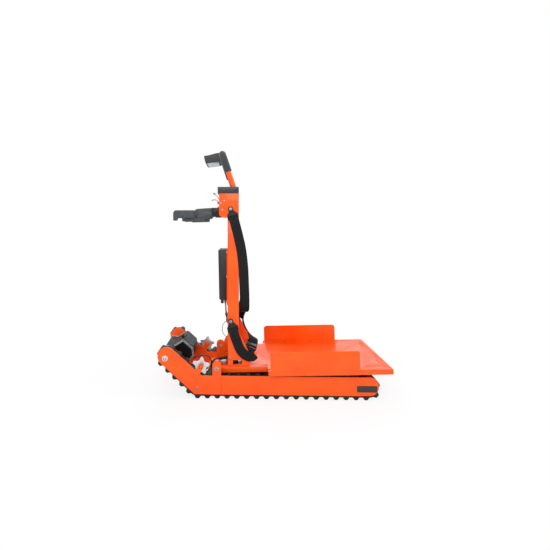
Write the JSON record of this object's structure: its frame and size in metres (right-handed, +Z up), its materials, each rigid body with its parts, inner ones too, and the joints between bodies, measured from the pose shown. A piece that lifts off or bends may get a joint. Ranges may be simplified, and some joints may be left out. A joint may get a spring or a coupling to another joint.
{
  "type": "tracked stair climbing trolley",
  "caption": "Electric trolley on two rubber tracks with a tilting load deck, a mast with control box and battery, a telescopic handlebar, folding handles and load belts.",
  "frame": {"origin": "on the floor, under the middle of the bounding box", "axes": "+X towards the end of the load deck, +Y towards the far track unit, +Z up"},
  "size_m": [1.1719, 0.5426, 1.264],
  "materials": {
    "orange_paint": "gloss powder coat",
    "track_rubber": "moulded rubber",
    "grip_rubber": "foam and soft rubber",
    "bright_steel": "zinc plated",
    "black_plastic": "fine texture",
    "motor_black": "satin paint",
    "cast_grey": "cast",
    "webbing": "woven",
    "red_plastic": "gloss",
    "black_steel": "satin paint"
  },
  "bodies": {
    "chassis": {"chassis_frame": "orange_paint", "near_front_plate": "orange_paint", "far_front_plate": "orange_paint", "near_rear_plate": "orange_paint", "far_rear_plate": "orange_paint", "near_badge_plate": "black_plastic", "far_badge_plate": "black_plastic", "near_star_bracket": "orange_paint", "near_track_belt": "track_rubber", "far_track_belt": "track_rubber", "motor_housing": "motor_black", "motor_cooling_block": "cast_grey", "motor_cable": "black_plastic", "actuator_barrel": "black_steel", "conduit": "black_plastic"},
    "drive_axle": {"drive_shaft": "bright_steel", "near_drive_wheel": "black_plastic", "far_drive_wheel": "black_plastic"},
    "near_rear_wheel": {"near_rear_wheel": "black_plastic"},
    "far_rear_wheel": {"far_rear_wheel": "black_plastic"},
    "near_corner_wheel": {"near_corner_wheel": "black_plastic"},
    "far_corner_wheel": {"far_corner_wheel": "black_plastic"},
    "near_star_wheel": {"near_star_wheel": "bright_steel"},
    "far_star_wheel": {"far_star_wheel": "bright_steel"},
    "actuator_rod": {"actuator_rod": "bright_steel"},
    "platform": {"deck_frame": "orange_paint", "deck_sheet": "orange_paint", "near_deck_guard": "orange_paint", "far_deck_guard": "orange_paint", "mast_frame": "orange_paint", "battery_tray": "orange_paint", "battery_case": "black_plastic", "control_box": "orange_paint", "control_box_cap": "black_plastic", "near_handle_bracket": "bright_steel", "far_handle_bracket": "bright_steel", "near_upper_belt_fitting": "black_steel", "far_upper_belt_fitting": "black_steel", "near_lower_belt_fitting": "black_steel", "far_lower_belt_fitting": "black_steel", "upper_belt": "webbing", "near_lower_belt": "webbing", "far_lower_belt": "webbing", "ratchet_frame": "bright_steel", "mast_cable": "black_plastic"},
    "ratchet_handle": {"ratchet_handle": "black_plastic"},
    "near_lower_handle": {"near_lower_handle": "black_plastic", "near_lower_grip": "grip_rubber"},
    "far_lower_handle": {"far_lower_handle": "black_plastic", "far_lower_grip": "grip_rubber"},
    "handlebar": {"upper_handlebar": "orange_paint", "near_foam_grip": "grip_rubber", "far_foam_grip": "grip_rubber", "palm_grip": "black_plastic"},
    "palm_lever": {"palm_lever": "bright_steel"},
    "joystick": {"joystick": "black_plastic"},
    "red_lever": {"red_lever": "red_plastic"},
    "emergency_stop": {"emergency_stop": "red_plastic"}
  },
  "joints": [
    {"name": "drive_axle_spin", "type": "hinge", "parent": "chassis", "child": "drive_axle", "pos_m": [-0.537, 0, 0.201], "axis": [0, 1, 0], "continuous": true},
    {"name": "near_rear_wheel_spin", "type": "hinge", "parent": "chassis", "child": "near_rear_wheel", "pos_m": [0.482, -0.194, 0.0565], "axis": [0, 1, 0], "continuous": true},
    {"name": "near_corner_wheel_spin", "type": "hinge", "parent": "chassis", "child": "near_corner_wheel", "pos_m": [-0.3745, -0.194, 0.0565], "axis": [0, 1, 0], "continuous": true},
    {"name": "near_star_wheel_spin", "type": "hinge", "parent": "chassis", "child": "near_star_wheel", "pos_m": [-0.356, -0.194, 0.163], "axis": [0, 1, 0], "continuous": true},
    {"name": "far_rear_wheel_spin", "type": "hinge", "parent": "chassis", "child": "far_rear_wheel", "pos_m": [0.482, 0.194, 0.0565], "axis": [0, 1, 0], "continuous": true},
    {"name": "far_corner_wheel_spin", "type": "hinge", "parent": "chassis", "child": "far_corner_wheel", "pos_m": [-0.3745, 0.194, 0.0565], "axis": [0, 1, 0], "continuous": true},
    {"name": "far_star_wheel_spin", "type": "hinge", "parent": "chassis", "child": "far_star_wheel", "pos_m": [-0.356, 0.194, 0.163], "axis": [0, 1, 0], "continuous": true},
    {"name": "deck_tilt", "type": "hinge", "parent": "chassis", "child": "platform", "pos_m": [-0.2765, 0, 0.1515], "axis": [0, -1, 0], "range_deg": [0, 35], "deforming": ["conduit"]},
    {"name": "actuator_stroke", "type": "slide", "parent": "chassis", "child": "actuator_rod", "axis": [1, 0, 0], "range_m": [0, 0.0286]},
    {"name": "handlebar_slide", "type": "slide", "parent": "platform", "child": "handlebar", "axis": [0, 0, 1], "range_m": [0, 0.15]},
    {"name": "near_lower_handle_fold", "type": "hinge", "parent": "platform", "child": "near_lower_handle", "pos_m": [-0.292, -0.165, 0.9387], "axis": [0, -1, 0], "range_deg": [0, 85]},
    {"name": "far_lower_handle_fold", "type": "hinge", "parent": "platform", "child": "far_lower_handle", "pos_m": [-0.292, 0.165, 0.9387], "axis": [0, -1, 0], "range_deg": [0, 85]},
    {"name": "palm_lever_press", "type": "hinge", "parent": "handlebar", "child": "palm_lever", "pos_m": [-0.279, 0, 1.22], "axis": [0, 1, 0], "range_deg": [0, 6], "stiffness_Nm_per_rad": 2},
    {"name": "joystick_push", "type": "hinge", "parent": "platform", "child": "joystick", "pos_m": [-0.2755, -0.04, 1.019], "axis": [0, 1, 0], "range_deg": [-15, 15], "stiffness_Nm_per_rad": 0.1},
    {"name": "red_lever_lift", "type": "hinge", "parent": "platform", "child": "red_lever", "pos_m": [-0.276, -0.07, 0.992], "axis": [0, 1, 0], "range_deg": [0, 25]},
    {"name": "emergency_stop_press", "type": "slide", "parent": "platform", "child": "emergency_stop", "axis": [1, 0, 0], "range_m": [0, 0.004], "stiffness_N_per_m": 500},
    {"name": "ratchet_handle_turn", "type": "hinge", "parent": "platform", "child": "ratchet_handle", "pos_m": [-0.10072, -0.1146, 0.22902], "axis": [0.9397, 0, -0.342], "range_deg": [-80, 30]}
  ],
  "couplings": [
    {"joint": "near_rear_wheel_spin", "follows": "drive_axle_spin", "ratio": 0.775},
    {"joint": "near_corner_wheel_spin", "follows": "drive_axle_spin", "ratio": 0.775},
    {"joint": "near_star_wheel_spin", "follows": "drive_axle_spin", "ratio": -0.789},
    {"joint": "far_rear_wheel_spin", "follows": "drive_axle_spin", "ratio": 0.775},
    {"joint": "far_corner_wheel_spin", "follows": "drive_axle_spin", "ratio": 0.775},
    {"joint": "far_star_wheel_spin", "follows": "drive_axle_spin", "ratio": -0.789},
    {"joint": "actuator_stroke", "follows": "deck_tilt", "m_per_rad": 0.0468}
  ]
}
